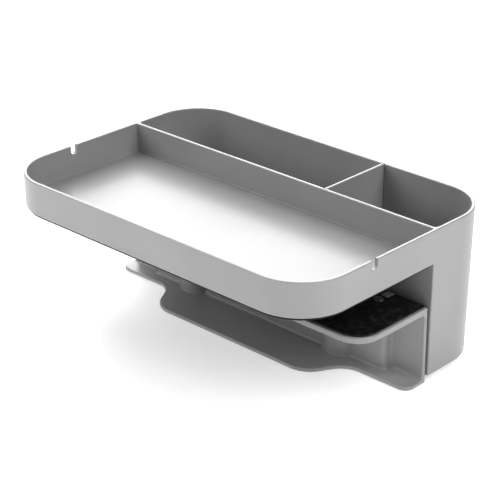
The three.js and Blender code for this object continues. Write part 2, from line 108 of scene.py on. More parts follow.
def makeAbs(name, s):
    material, tree, shader, coords = startMaterial(name, {"IOR": 1.53})
    cloud = addNode(tree, "ShaderNodeTexNoise",
                    sockets={"Scale": 1000 / s["cloudMm"], "Detail": 3.0, "Roughness": 0.5},
                    links={"Vector": coords})
    ramp = addNode(tree, "ShaderNodeValToRGB", links={"Fac": cloud.outputs["Fac"]})
    grain = addNode(tree, "ShaderNodeTexNoise",
                    sockets={"Scale": 1000 / s["grainMm"], "Detail": 2.0, "Roughness": 0.6},
                    links={"Vector": coords})
    rough = addNode(tree, "ShaderNodeMapRange",
                    sockets={"To Min": s["roughness"][0], "To Max": s["roughness"][1]},
                    links={"Value": grain.outputs["Fac"]})
    bump = addNode(tree, "ShaderNodeBump",
                   sockets={"Strength": s["grainStrength"], "Distance": s["grainDepth"] * mm},
                   links={"Height": grain.outputs["Fac"]})
    feed(tree, shader, {"Base Color": blend(ramp, s["cloudLevels"], (s["base"], s["cloud"])),
                        "Roughness": rough.outputs["Result"], "Normal": bump.outputs["Normal"]})
    return material


# Black rubber sheet, calendered with a fibrous pebble: matte, with broken soft highlights.
blackRubber = {
    "base": "#0B0B0C",
    "worn": "#3C3C3F",
    "wornLevels": (0.5, 0.64),
    "roughness": (0.50, 0.77),
    "pebbleMm": 1.5,
    "pebbleShare": 0.6,    # how much the pebbles lift the skin, beside the fibres
    "fibreMm": 2.6,
    "fibreStretch": 0.45,
    "depth": 0.25,
    "strength": 0.6,
}


def makeRubber(name, s):
    material, tree, shader, coords = startMaterial(name, {"IOR": 1.52})
    stretch = addNode(tree, "ShaderNodeMapping", sockets={"Scale": (1.0, s["fibreStretch"], 1.0)},
                      links={"Vector": coords})
    fibre = addNode(tree, "ShaderNodeTexNoise",
                    sockets={"Scale": 1000 / s["fibreMm"], "Detail": 6.0, "Roughness": 0.65},
                    links={"Vector": stretch.outputs["Vector"]})
    pebble = addNode(tree, "ShaderNodeTexVoronoi", values={"feature": "SMOOTH_F1"},
                     sockets={"Scale": 1000 / s["pebbleMm"], "Randomness": 0.9},
                     links={"Vector": coords})
    ramp = addNode(tree, "ShaderNodeValToRGB", links={"Fac": fibre.outputs["Fac"]})
    height = addNode(tree, "ShaderNodeMath", values={"operation": "MULTIPLY_ADD"},
                     sockets={1: s["pebbleShare"]},
                     links={0: pebble.outputs["Distance"], 2: fibre.outputs["Fac"]})
    bump = addNode(tree, "ShaderNodeBump",
                   sockets={"Strength": s["strength"], "Distance": s["depth"] * mm},
                   links={"Height": height.outputs["Value"]})
    rough = addNode(tree, "ShaderNodeMapRange",
                    sockets={"To Min": s["roughness"][0], "To Max": s["roughness"][1]},
                    links={"Value": fibre.outputs["Fac"]})
    feed(tree, shader, {"Base Color": blend(ramp, s["wornLevels"], (s["base"], s["worn"])),
                        "Roughness": rough.outputs["Result"], "Normal": bump.outputs["Normal"]})
    return material


# Bright zinc-plated steel, cold headed: clean silver, slightly clouded, with a soft sparkle.
zincSteel = {
    "base": "#C3C7CB",
    "cloud": "#A9ADB2",
    "cloudLevels": (0.35, 0.65),
    "cloudMm": 1.8,
    "roughness": (0.22, 0.40),
}


def makeZinc(name, s):
    material, tree, shader, coords = startMaterial(name, {"Metallic": 1.0})
    cloud = addNode(tree, "ShaderNodeTexNoise",
                    sockets={"Scale": 1000 / s["cloudMm"], "Detail": 4.0, "Roughness": 0.55},
                    links={"Vector": coords})
    ramp = addNode(tree, "ShaderNodeValToRGB", links={"Fac": cloud.outputs["Fac"]})
    rough = addNode(tree, "ShaderNodeMapRange",
                    sockets={"To Min": s["roughness"][0], "To Max": s["roughness"][1]},
                    links={"Value": cloud.outputs["Fac"]})
    feed(tree, shader, {"Base Color": blend(ramp, s["cloudLevels"], (s["cloud"], s["base"])),
                        "Roughness": rough.outputs["Result"]})
    return material


# Natural nylon, moulded: milky off-white, with a slight glow under the skin.
naturalNylon = {
    "base": "#E2DFD6",
    "cloud": "#D8D4C8",
    "cloudLevels": (0.4, 0.6),
    "cloudMm": 4.0,
    "roughness": (0.40, 0.53),
    "glowShare": 0.15,
    "glowDepth": 0.8,
}


def makeNylon(name, s):
    material, tree, shader, coords = startMaterial(name, {
        "IOR": 1.53, "Subsurface Weight": s["glowShare"], "Subsurface Scale": s["glowDepth"] * mm})
    cloud = addNode(tree, "ShaderNodeTexNoise",
                    sockets={"Scale": 1000 / s["cloudMm"], "Detail": 3.0}, links={"Vector": coords})
    ramp = addNode(tree, "ShaderNodeValToRGB", links={"Fac": cloud.outputs["Fac"]})
    rough = addNode(tree, "ShaderNodeMapRange",
                    sockets={"To Min": s["roughness"][0], "To Max": s["roughness"][1]},
                    links={"Value": cloud.outputs["Fac"]})
    feed(tree, shader, {"Base Color": blend(ramp, s["cloudLevels"], (s["cloud"], s["base"])),
                        "Roughness": rough.outputs["Result"]})
    return material


materials = {
    "grey_abs": makeAbs("spark-grained grey ABS", absGrey),
    "black_rubber": makeRubber("pebbled black rubber", blackRubber),
    "zinc_steel": makeZinc("bright zinc-plated steel", zincSteel),
    "nylon": makeNylon("natural nylon", naturalNylon),
}
slotOf = {row["node"]: row["material_slot"] for row in frame["record"]["subparts"]}
for name, node in nodes.items():
    node.data.materials.clear()
    node.data.materials.append(materials[slotOf[name]])
print("materials ready")


# Modelling helpers. Sizes and places are in millimetres until they reach Blender.

sides = (("left", -1), ("right", 1))
screwX = 56.7              # bosses, guide pins, slide blocks and their screws stand here on both sides
screwHeights = (("low", 10.7), ("high", 15.4))
farOut = 130               # past both ends of the part, where cutters may end


def only(piece):
    if bpy.context.mode != "OBJECT":
        bpy.ops.object.mode_set(mode="OBJECT")
    bpy.ops.object.select_all(action="DESELECT")
    piece.select_set(True)
    bpy.context.view_layer.objects.active = piece


def addBlock(name, low, high):
    bpy.ops.object.select_all(action="DESELECT")
    centre = [(a + b) / 2 * mm for a, b in zip(low, high)]
    bpy.ops.mesh.primitive_cube_add(size=1, location=centre)
    piece = bpy.context.object
    piece.name = name
    piece.scale = [(b - a) * mm for a, b in zip(low, high)]
    bpy.ops.object.transform_apply(location=True, rotation=True, scale=True)
    return piece


# a round bar from one place to another along Z, Y or X, with its centre on the other two axes
def addRod(name, centre, radius, low, high, along="Z", segments=48):
    bpy.ops.object.select_all(action="DESELECT")
    first, second = centre
    middle = (low + high) / 2
    spot, turn = {
        "Z": ((first, second, middle), (0, 0, 0)),
        "Y": ((first, middle, second), (math.pi / 2, 0, 0)),
        "X": ((middle, first, second), (0, math.pi / 2, 0)),
    }[along]
    bpy.ops.mesh.primitive_cylinder_add(
        vertices=segments, radius=radius * mm, depth=(high - low) * mm,
        location=[v * mm for v in spot], rotation=turn)
    piece = bpy.context.object
    piece.name = name
    bpy.ops.object.transform_apply(location=True, rotation=True, scale=True)
    return piece


# how sharply the two faces at each edge turn, in degrees; a hollow edge counts below zero
def edgeBends(mesh):
    faces = {}
    for face in mesh.polygons:
        for key in face.edge_keys:
            faces.setdefault(key, []).append(face)
    bends = {}
    for key, pair in faces.items():
        if len(pair) == 2:
            one, two = pair
            turn = math.degrees(one.normal.angle(two.normal, 0))
            middle = (mesh.vertices[key[0]].co + mesh.vertices[key[1]].co) / 2
            inward = (two.center - middle).dot(one.normal) > 1e-9
            bends[key] = -turn if inward else turn
    return bends


# enters edit mode with only what passes the test selected
def pick(piece, kind, test):
    only(piece)
    mesh = piece.data
    bpy.context.tool_settings.mesh_select_mode = [kind == each for each in ("vert", "edge", "face")]
    bends = edgeBends(mesh) if kind == "edge" else {}
    points = [v.co / mm for v in mesh.vertices]
    for vertex in mesh.vertices:
        vertex.select = kind == "vert" and test(points[vertex.index])
    for edge in mesh.edges:
        a, b = edge.vertices
        edge.select = kind == "edge" and test(points[a], points[b], bends.get(edge.key, 0))
    for face in mesh.polygons:
        face.select = kind == "face" and test(face.center / mm, face.normal)
    bpy.ops.object.mode_set(mode="EDIT")


def roundEdges(piece, radius, segments, test):
    pick(piece, "edge", test)
    bpy.ops.mesh.bevel(offset_type="OFFSET", offset=radius * mm, segments=segments, profile=0.5,
                       affect="EDGES", clamp_overlap=False)
    bpy.ops.object.mode_set(mode="OBJECT")


# a wide corner needs more flats than a tight one
def arcSteps(radius):
    return 20 if radius > 5 else 5


# tests for roundEdges, from the edge's two ends and its bend
def upright(a, b):
    return abs(a.x - b.x) < 0.6 and abs(a.y - b.y) < 0.6 and abs(a.z - b.z) > 0.3


def frontUpright(a, b, bend):
    return upright(a, b) and a.y < 0


def backUpright(a, b, bend):
    return upright(a, b) and a.y > 0


def sharp(a, b, bend):
    return bend > 60


def level(z, tolerance=0.02):
    return lambda a, b, bend: abs(a.z - z) < tolerance and abs(b.z - z) < tolerance and abs(bend) > 20


# moves the points that pass the test
def shift(piece, move, test):
    pick(piece, "vert", test)
    bpy.ops.transform.translate(value=[v * mm for v in move])
    bpy.ops.object.mode_set(mode="OBJECT")


# scales the points that pass the test, away from the middle of the part or another place on Y
def spread(piece, factors, test, centreY=0):
    pick(piece, "vert", test)
    bpy.ops.transform.resize(value=factors, center_override=(0, centreY * mm, 0))
    bpy.ops.object.mode_set(mode="OBJECT")


def turnAboutX(piece, angle):
    pick(piece, "vert", lambda p: True)
    bpy.ops.transform.rotate(value=angle, orient_axis="X", center_override=(0, 0, 0))
    bpy.ops.object.mode_set(mode="OBJECT")


def combine(piece, others, operation="UNION"):
    for other in others:
        only(piece)
        modifier = piece.modifiers.new("combine", "BOOLEAN")
        modifier.operation = operation
        modifier.solver = "EXACT"
        modifier.object = other
        bpy.ops.object.modifier_apply(modifier="combine")
        bpy.data.objects.remove(other, do_unlink=True)
    return piece


def carve(piece, *cutters):
    return combine(piece, cutters, "DIFFERENCE")


# merges stray points, then smooths the rounds while the flats stay flat
def polish(piece, angle):
    pick(piece, "vert", lambda p: True)
    bpy.ops.mesh.remove_doubles(threshold=0.002 * mm)
    bpy.ops.mesh.dissolve_degenerate(threshold=0.002 * mm)
    bpy.ops.object.mode_set(mode="OBJECT")
    bpy.ops.object.shade_smooth_by_angle(angle=math.radians(angle))
    modifier = piece.modifiers.new("even", "WEIGHTED_NORMAL")
    modifier.keep_sharp = True
    modifier.weight = 100
    bpy.ops.object.modifier_apply(modifier="even")


# finishes a piece, puts it on its body and lets it stand for its node
def place(piece, slot, body, node, angle=32):
    polish(piece, angle)
    piece.data.materials.clear()
    piece.data.materials.append(materials[slot])
    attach(piece, body)
    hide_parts(node)


# a second piece of the same shape, with its own mesh, moved by so many millimetres
def copyOf(piece, name, move):
    twin = piece.copy()
    twin.data = piece.data.copy()
    twin.name = name
    bpy.context.scene.collection.objects.link(twin)
    shift(twin, move, lambda p: True)
    return twin


# a copy on each side of the middle; the first one stood in the middle and isn't kept
def placeBothSides(first, name, node, slot, body, x=screwX, y=0, z=0):
    for side, sign in sides:
        twin = copyOf(first, name.format(side), (sign * x, y, z))
        place(twin, slot, body, node.format(side))
    bpy.data.objects.remove(first)


shell = {
    "halfWidth": 114.5,
    "halfDepth": 78.35,
    "rim": 91.8,
    "corner": 30,
    "wall": 2.1,
    "lean": 0.0125,        # how far a wall leans in for each millimetre below the rim
    "rimRound": 0.6,
    "trayBottom": 71.5,
    "trayFloor": 73.9,
    "trayEdge": 1.2,
    "trayFillet": 0.6,
    "trayBackCorner": 0.8,
    "boxBottom": 4.2,
    "boxFloor": 6.6,
    "boxFront": 23.6,      # where it meets the tray's underside; it leans back as it goes down
    "boxCorner": 0.8,
    "boxEdge": 0.6,
    "boxFillet": 2,
    "boxInnerCorner": 2.2,
    "dividerFront": 24.35,
    "dividerBack": 26.45,
    "bead": {"depth": 0.6, "height": 1.2, "round": 0.3},
    "notch": {"y": -26.05, "width": 4.5, "depth": 5.2, "round": 1.5},
    "groove": {"x": 36.5, "halfWidth": 1.3, "depth": 0.9, "lift": 0.05},
    "screwHole": 1.75,
}


# a block with rounded upright corners and walls that lean in as they go down
def leaningBlock(name, low, high, frontRound, backRound):
    piece = addBlock(name, low, high)
    middleY = (low[1] + high[1]) / 2
    roundEdges(piece, frontRound, arcSteps(frontRound),
               lambda a, b, bend: upright(a, b) and a.y < middleY)
    roundEdges(piece, backRound, arcSteps(backRound),
               lambda a, b, bend: upright(a, b) and bend > 60 and a.y > middleY)
    halfX, depth = high[0], high[1] - low[1]
    for z in (low[2], high[2]):
        inset = shell["lean"] * (shell["rim"] - z)
        spread(piece, ((halfX - inset) / halfX, (depth - 2 * inset) / depth, 1),
               lambda p: abs(p.z - z) < 0.01, centreY=middleY)
    return piece


# what is cut away for the desk: everything under the tray, in front of the box
def deskRoom(s):
    halfX, halfY, rim, lean = s["halfWidth"], s["halfDepth"], s["rim"], s["lean"]
    overlap, under = 1.1, 5
    top = s["trayBottom"] + overlap
    room = addBlock("room", (-farOut, -farOut, -under), (farOut, s["boxFront"], top))
    for side in (-1, 1):
        wallX = halfX - lean * (rim - s["trayBottom"]) + 0.03
        pick(room, "face", lambda c, n: n.y > 0.9)
        bpy.ops.mesh.bisect(plane_co=(side * wallX * mm, 0, 0), plane_no=(1, 0, 0))
        bpy.ops.object.mode_set(mode="OBJECT")
    for side in (-1, 1):
        pick(room, "face", lambda c, n: n.y > 0.9 and c.x * side > halfX - 1)
        bpy.ops.mesh.extrude_region_move(TRANSFORM_OT_translate={"value": (0, s["boxCorner"] * mm, 0)})
        bpy.ops.object.mode_set(mode="OBJECT")
    # the step and the back of the cutter follow the lean of the walls
    spread(room, ((halfX - lean * (rim + under)) / (halfX - lean * (rim - top)), 1, 1),
           lambda p: p.z < 0 and abs(p.x) < farOut - 5 and p.y > 0)
    shift(room, (0, lean * (s["trayBottom"] + under), 0), lambda p: p.z < 0 and p.y > 0)
    roundEdges(room, s["boxCorner"], 5, lambda a, b, bend: abs(a.z - b.z) > 50 and bend < -60)
    tray = leaningBlock("tray", (-halfX, -halfY, s["trayBottom"]), (halfX, halfY + 20, rim), s["corner"], 5)
    roundEdges(tray, s["trayEdge"], 5, level(s["trayBottom"]))
    return carve(room, tray)


# the inside of the tray and the inside of the deep box
def emptyRooms(s):
    inX, top = s["halfWidth"] - s["wall"], s["rim"] + 3
    inRound = s["corner"] - s["wall"]
    trayRoom = leaningBlock("tray room", (-inX, -s["halfDepth"] + s["wall"], s["trayFloor"]),
                            (inX, s["dividerFront"], top), inRound, s["trayBackCorner"])
    roundEdges(trayRoom, s["trayFillet"], 5, level(s["trayFloor"]))
    boxRoom = leaningBlock("box room", (-inX, s["dividerBack"], s["boxFloor"]),
                           (inX, s["halfDepth"] - s["wall"], top), s["boxInnerCorner"], inRound)
    roundEdges(boxRoom, s["boxFillet"], 6, level(s["boxFloor"]))
    return trayRoom, boxRoom


# the small step along the long divider's foot
def footBead(s):
    bead, floor, face = s["bead"], s["trayFloor"], s["dividerFront"]
    strip = addBlock("bead", (-s["halfWidth"] + 1, face - bead["depth"], floor - 1.4),
                     (s["halfWidth"] - 1, face + 0.5, floor + bead["height"]))
    roundEdges(strip, bead["round"], 4,
               lambda a, b, bend: abs(a.x - b.x) > 50 and a.z > floor and a.y < face)
    return strip


# the cable notches, the cross divider's grooves and the holes for the slide blocks' screws
def shellCuts(s):
    rim, top = s["rim"], s["rim"] + 3
    notch, groove = s["notch"], s["groove"]
    half = notch["width"] / 2
    notchCutter = addBlock("notch", (-farOut, notch["y"] - half, rim - notch["depth"]),
                           (farOut, notch["y"] + half, top))
    roundEdges(notchCutter, notch["round"], 5, lambda a, b, bend: abs(a.x - b.x) > 50 and a.z < rim)
    middle, deep = groove["x"], groove["depth"]
    grooveCutter = addBlock(
        "groove",
        (middle - groove["halfWidth"], s["dividerBack"] - deep, s["boxFloor"] + groove["lift"]),
        (middle + groove["halfWidth"], s["halfDepth"] - s["wall"] + deep, top))
    shift(grooveCutter, (0, -s["lean"] * (rim - s["boxFloor"]), 0), lambda p: p.z < 20 and p.y > 50)
    holes = [addRod("hole", (x, z), s["screwHole"], s["boxFront"] - 1, s["dividerBack"] + 3, "Y", 24)
             for x in (-screwX, screwX) for label, z in screwHeights]
    return notchCutter, grooveCutter, *holes


def makeShell(s):
    body = leaningBlock("organiser_shell", (-s["halfWidth"], -s["halfDepth"], s["boxBottom"]),
                        (s["halfWidth"], s["halfDepth"], s["rim"]), s["corner"], s["corner"])
    carve(body, deskRoom(s))
    roundEdges(body, s["boxEdge"], 4, level(s["boxBottom"]))
    print("shell: outside done,", len(body.data.polygons), "faces")
    carve(body, *emptyRooms(s))
    roundEdges(body, s["rimRound"], 4, level(s["rim"]))
    combine(body, [footBead(s)])
    print("shell: rooms and rim done")
    carve(body, *shellCuts(s))
    place(body, "grey_abs", "organiser", "shell")
    print("shell: done,", len(body.data.polygons), "faces")


makeShell(shell)


crossDivider = {"front": 25.85, "back": 76.85, "bottom": 6.95, "thickness": 2, "topRound": 0.6, "edge": 0.2}


def makeCrossDivider(s):
    x, half = shell["groove"]["x"], s["thickness"] / 2
    plate = addBlock("cross_divider_plate", (x - half, s["front"], s["bottom"]),
                     (x + half, s["back"], shell["rim"]))
    shift(plate, (0, -shell["lean"] * (shell["rim"] - s["bottom"]), 0), lambda p: p.z < 20 and p.y > 50)
    roundEdges(plate, s["topRound"], 4, lambda a, b, bend: min(a.z, b.z) > 90 and abs(a.y - b.y) > 20)
    roundEdges(plate, s["edge"], 2, sharp)
    place(plate, "grey_abs", "divider", "cross_divider")


makeCrossDivider(crossDivider)


gripSheet = {"inset": 1.6, "back": 22.4, "bottom": 70.3, "top": 71.25, "backCorner": 2, "edge": 0.2}


def makeGripSheet(s):
    halfX, halfY = shell["halfWidth"] - s["inset"], shell["halfDepth"] - s["inset"]
    sheet = addBlock("grip_sheet", (-halfX, -halfY, s["bottom"]), (halfX, s["back"], s["top"]))
    roundEdges(sheet, shell["corner"] - s["inset"], 20, frontUpright)
    roundEdges(sheet, s["backCorner"], 5, backUpright)
    roundEdges(sheet, s["edge"], 2, lambda a, b, bend: abs(a.z - b.z) < 0.01 and abs(bend) > 60)
    place(sheet, "black_rubber", "organiser", "tray_grip_sheet")


makeGripSheet(gripSheet)


jaw = {
    "halfWidth": 112.3,
    "front": -32.7,
    "back": 23.45,
    "backPlate": 2.4,
    "backLean": 0.7,
    "footRound": 2.4,      # the flange turns up into the back plate
    "browRound": 3,        # the back plate turns out into the top plate
    "plateBottom": 42.6,
    "plateTop": 46.2,
    "plateCorner": 14,
    "plateEdge": 0.9,
    "flange": 2.4,
    "flangeFront": 7.85,
    "flangeCorner": 5.5,
    "tongueFront": -14.85,
    "tongueHalf": 57.8,
    "tongueCorner": 9,
    "neckHalf": 70.7,
    "neckCorner": 8,
    "pocketHalf": 90.3,
    "pocketFront": 15.45,
    "pocketWall": 2,
    "pocketCorner": 3,
    "pocketRoot": 2.6,     # the pocket's ends turn out into the back plate
    "pocketFoot": 1.5,
    "bossY": 21.75,
    "bossRadius": 11.8,
    "pinY": 16,
    "post": {"radius": 3, "tip": 19.95, "pilot": 1.3},
    "pinBoss": {"radius": 4, "top": 3.9, "hole": 2.25, "sink": 4, "sinkTop": 1.4, "seatTop": 44.7},
    "padBoss": {"radius": 3.8, "bottom": 36.5, "pilot": 1.6, "pilotBottom": 38},
    "softLine": 0.8,
    "sunk": 1.2,           # how deep one block of the bracket reaches into the next
}
padScrewSpot = (87.8, 11.95)
lug = {"x": 88, "y": 19.3, "halfWidth": 2.6, "halfDepth": 3.2, "top": 47.2, "corner": 1, "edge": 0.3}
coverScrewSpots = [(-84, 22.6), (84, 22.6), (-28, 11), (28, 11), (-28, 34), (28, 34)]


def makeFlange(s):
    half = s["halfWidth"]
    flange = addBlock("flange", (-half, s["flangeFront"], 0), (half, s["back"], s["flange"]))
    for x in (-s["neckHalf"], s["neckHalf"]):
        pick(flange, "face", lambda c, n: True)
        bpy.ops.mesh.bisect(plane_co=(x * mm, 0, 0), plane_no=(1, 0, 0))
        bpy.ops.object.mode_set(mode="OBJECT")
    reach = s["tongueFront"] - s["flangeFront"]
    pick(flange, "face", lambda c, n: n.y < -0.9 and abs(c.x) < 5)
    bpy.ops.mesh.extrude_region_move(TRANSFORM_OT_translate={"value": (0, reach * mm, 0)})
    bpy.ops.object.mode_set(mode="OBJECT")
    spread(flange, (s["tongueHalf"] / s["neckHalf"], 1, 1), lambda p: p.y < s["tongueFront"] + 0.1)
    roundEdges(flange, s["tongueCorner"], 8,
               lambda a, b, bend: upright(a, b) and a.y < s["tongueFront"] + 0.1)
    roundEdges(flange, s["neckCorner"], 8, lambda a, b, bend: upright(a, b) and bend < -10)
    roundEdges(flange, s["flangeCorner"], 8,
               lambda a, b, bend: upright(a, b) and bend > 60 and abs(a.x) > half - 1 and a.y < 10)
    return flange


# the top plate, the leaning back plate and the flange, with a hollow round where they meet
def makeProfile(s):
    half, wide, sunk = s["halfWidth"], s["halfWidth"] + 5, s["sunk"]
    inner = s["back"] - s["backPlate"]
    bracket = addBlock("bracket", (-half, s["front"], s["plateBottom"]),
                       (half, s["back"] - s["backLean"], s["plateTop"]))
    roundEdges(bracket, s["plateCorner"], 12, frontUpright)
    back = addBlock("back", (-half, inner, 1), (half, s["back"], s["plateBottom"] + 2))
    shift(back, (0, -s["backLean"], 0), lambda p: p.z > 40 and p.y > inner + 0.1)
    browY, browZ = inner - s["browRound"], s["plateBottom"] - s["browRound"]
    brow = addBlock("brow", (-half, browY, browZ), (half, inner + 1, s["plateBottom"] + 1.5))
    carve(brow, addRod("round", (browY, browZ), s["browRound"], -wide, wide, "X", 48))
    footY, footZ = inner - s["footRound"], s["flange"] + s["footRound"]
    foot = addBlock("foot", (-half, footY, sunk), (half, inner + 1, footZ))
    carve(foot, addRod("round", (footY, footZ), s["footRound"], -wide, wide, "X", 40))
    return combine(bracket, [back, brow, foot, makeFlange(s)])


# the solid outside of the pocket with its two half-round bosses
def makePocket(s):
    inner, sunk = s["back"] - s["backPlate"], s["sunk"]
    low, high, behind = sunk, s["plateBottom"] + sunk, inner + 0.6
    pocket = addBlock("pocket", (-s["pocketHalf"], s["pocketFront"], low), (s["pocketHalf"], behind, high))
    roundEdges(pocket, s["pocketCorner"], 6,
               lambda a, b, bend: upright(a, b) and a.y < s["pocketFront"] + 0.1)
    for side in (-1, 1):
        near, far = side * (s["pocketHalf"] - 1), side * (s["pocketHalf"] + s["pocketRoot"])
        rootY = inner - s["pocketRoot"]
        root = addBlock("root", (min(near, far), rootY, low), (max(near, far), behind, high))
        carve(root, addRod("round", (far, rootY), s["pocketRoot"], 0, 60, segments=40))
        combine(pocket, [root])
    for x in (-screwX, screwX):
        boss = addRod("boss", (x, s["bossY"]), s["bossRadius"], low, high, segments=64)
        carve(boss, addBlock("trim", (x - 20, behind, -5), (x + 20, 60, 60)))
        combine(pocket, [boss])
    return pocket


def makePocketRoom(s):
    wall = s["pocketWall"]
    room = addBlock("room", (-s["pocketHalf"] + wall, s["pocketFront"] + wall, s["flange"]),
                    (s["pocketHalf"] - wall, s["back"] + 2, s["plateBottom"]))
    hollows = [addRod("hollow", (x, s["bossY"]), s["bossRadius"] - wall, s["flange"], s["plateBottom"],
                      segments=64) for x in (-screwX, screwX)]
    return combine(room, hollows)


# screw posts, pin bosses, pad bosses and the lugs that locate the pad
def bracketFittings(s):
    post, pinBoss, padBoss = s["post"], s["pinBoss"], s["padBoss"]
    padX, padY = padScrewSpot
    pieces = [addRod("post", spot, post["radius"], s["pocketFront"] + 1, post["tip"], "Y", 32)
              for spot in coverScrewSpots]
    pieces += [addRod("pin boss", (x, s["pinY"]), pinBoss["radius"], 1, pinBoss["top"], segments=32)
               for x in (-screwX, screwX)]
    pieces += [addRod("pad boss", (x, padY), padBoss["radius"], padBoss["bottom"], s["plateBottom"] + 1,
                      segments=32) for x in (-padX, padX)]
    for x in (-lug["x"], lug["x"]):
        piece = addBlock("lug", (x - lug["halfWidth"], lug["y"] - lug["halfDepth"], s["plateTop"] - 1),
                         (x + lug["halfWidth"], lug["y"] + lug["halfDepth"], lug["top"]))
        roundEdges(piece, lug["corner"], 4, lambda a, b, bend: upright(a, b))
        roundEdges(piece, lug["edge"], 3, level(lug["top"]))
        pieces.append(piece)
    return pieces


def bracketHoles(s):
    post, pinBoss, padBoss = s["post"], s["pinBoss"], s["padBoss"]
    padX, padY = padScrewSpot
    holes = [addRod("pilot", spot, post["pilot"], s["pocketFront"] + 1, post["tip"] + 1, "Y", 20)
             for spot in coverScrewSpots]
    holes += [addRod("pad pilot", (x, padY), padBoss["pilot"], padBoss["pilotBottom"], s["plateTop"] + 1,
                     segments=20) for x in (-padX, padX)]
    for x in (-screwX, screwX):
        spot = (x, s["pinY"])
        holes += [addRod("pin hole", spot, pinBoss["hole"], -1, pinBoss["top"] + 1, segments=32),
                  addRod("pin sink", spot, pinBoss["sink"], -1, pinBoss["sinkTop"], segments=32),
                  addRod("pin seat", spot, pinBoss["hole"], s["plateBottom"] - 1, pinBoss["seatTop"],
                         segments=32)]
    return holes


# rounds the top plate's edge, then draws one soft line round the flange, up both ends
# and along the plate's lower edge
def softenBracket(bracket, s):
    half, inner = s["halfWidth"], s["back"] - s["backPlate"]
    atTop = level(s["plateTop"])
    roundEdges(bracket, s["plateEdge"], 4,
               lambda a, b, bend: atTop(a, b, bend) and bend > 60
               and (abs(a.x) > 95 or a.y < 0 or a.y > 23))
    pick(bracket, "vert", lambda p: True)
    bpy.ops.mesh.remove_doubles(threshold=0.01 * mm)
    bpy.ops.mesh.dissolve_limited(angle_limit=math.radians(0.3))
    bpy.ops.object.mode_set(mode="OBJECT")

    def onFlange(a, b):
        byPin = abs(abs(a.x) - screwX) < 4.5 and a.y > 11
        return max(a.z, b.z) < s["flange"] + 0.05 and min(a.y, b.y) < inner and not byPin

    def onEnd(a, b):
        return min(abs(a.x), abs(b.x)) > half - 0.01 and max(a.y, b.y) < inner + 0.01

    def underPlate(a, b):
        return min(a.z, b.z) > s["plateBottom"] - 0.1 and min(a.y, b.y) < 0

    roundEdges(bracket, s["softLine"], 4,
               lambda a, b, bend: bend > 60 and max(a.z, b.z) < s["plateBottom"] + 0.1
               and (onFlange(a, b) or onEnd(a, b) or underPlate(a, b)))


def makeBracket(s):
    inner = s["back"] - s["backPlate"]
    bracket = makeProfile(s)
    print("bracket: plates done")
    combine(bracket, [makePocket(s)])
    atFoot = level(s["flange"])
    roundEdges(bracket, s["pocketFoot"], 5,
               lambda a, b, bend: atFoot(a, b, bend) and bend < -60 and max(a.y, b.y) < inner)
    carve(bracket, makePocketRoom(s))
    print("bracket: pocket done")
    combine(bracket, bracketFittings(s))
    carve(bracket, *bracketHoles(s))
    softenBracket(bracket, s)
    place(bracket, "grey_abs", "jaw", "jaw_bracket")
    print("bracket: done,", len(bracket.data.polygons), "faces")


makeBracket(jaw)


jawPad = {"inset": 1.3, "back": 22.15, "bottom": 46.45, "top": 47.2, "backCorner": 1, "edge": 0.25,
          "screwOpening": 3.4, "lugGap": 0.4}


def makeJawPad(s):
    half = jaw["halfWidth"] - s["inset"]
    pad = addBlock("jaw_pad", (-half, jaw["front"] + s["inset"], s["bottom"]), (half, s["back"], s["top"]))
    roundEdges(pad, jaw["plateCorner"] - s["inset"], 12, frontUpright)
    roundEdges(pad, s["backCorner"], 4, backUpright)
    roundEdges(pad, s["edge"], 3, level(s["top"]))
    low, high = s["bottom"] - 0.45, s["top"] + 0.8
    halfX, halfY = lug["halfWidth"] + s["lugGap"], lug["halfDepth"] + s["lugGap"]
    for side in (-1, 1):
        screwSpot = (side * padScrewSpot[0], padScrewSpot[1])
        lugX = side * lug["x"]
        carve(pad, addRod("screw opening", screwSpot, s["screwOpening"], low, high, segments=40),
              addBlock("lug opening", (lugX - halfX, lug["y"] - halfY, low),
                       (lugX + halfX, lug["y"] + halfY, high)))
    place(pad, "black_rubber", "jaw", "jaw_grip_pad")


makeJawPad(jawPad)
print("sheet and pad done")


crossRecess = {
    "armWidth": 0.28,      # of the cross's reach
    "narrowing": 0.7,      # its foot against its mouth
    "depth": 0.8,
    "share": 0.7,          # the most of the head's height that it may take
}


# A cross-head screw standing on its tip: the head's top is at height 0. A sunk head is a cone.
def makeScrew(name, s, length, sunk=False):
    radius, height, shankRadius = s["headRadius"], s["headHeight"], s["shank"]
    head = addRod(name, (0, 0), radius, -height, 0)
    if sunk:
        narrow = (shankRadius + 0.1) / radius
        spread(head, (narrow, narrow, 1), lambda p: p.z < -height / 2)
    roundEdges(head, s["headEdge"], 2 if sunk else 4, level(0))
    cross, arm, narrowing = s["cross"], crossRecess["armWidth"] * s["cross"], crossRecess["narrowing"]
    depth = min(crossRecess["depth"], height * crossRecess["share"])
    for long, wide in ((cross, arm), (arm, cross)):
        recess = addBlock("recess", (-long, -wide, -depth), (long, wide, 1))
        spread(recess, (narrowing, narrowing, 1), lambda p: p.z < 0)
        carve(head, recess)
    shank = addRod("shank", (0, 0), shankRadius, -length, -height / 2, segments=24)
    roundEdges(shank, shankRadius * 0.5, 3, level(-length))
    return combine(head, [shank])


# lays a piece that stands under height 0 down, so that its top faces +Y
def layBack(piece):
    turnAboutX(piece, math.pi / 2)
    places = [v.co.y for v in piece.data.vertices]
    if abs(min(places)) < abs(max(places)):      # with no window it turns the other way
        turnAboutX(piece, math.pi)
    return piece


padScrew = {"top": 47.2, "headRadius": 3, "headHeight": 0.75, "headEdge": 0.3, "shank": 1.3, "length": 8.5,
            "cross": 1.5}


def makePadScrews(s):
    first = makeScrew("pad_screw", s, s["length"])
    placeBothSides(first, "pad_screw_head_{}", "pad_screw_{}", "zinc_steel", "jaw",
                   x=padScrewSpot[0], y=padScrewSpot[1], z=s["top"])


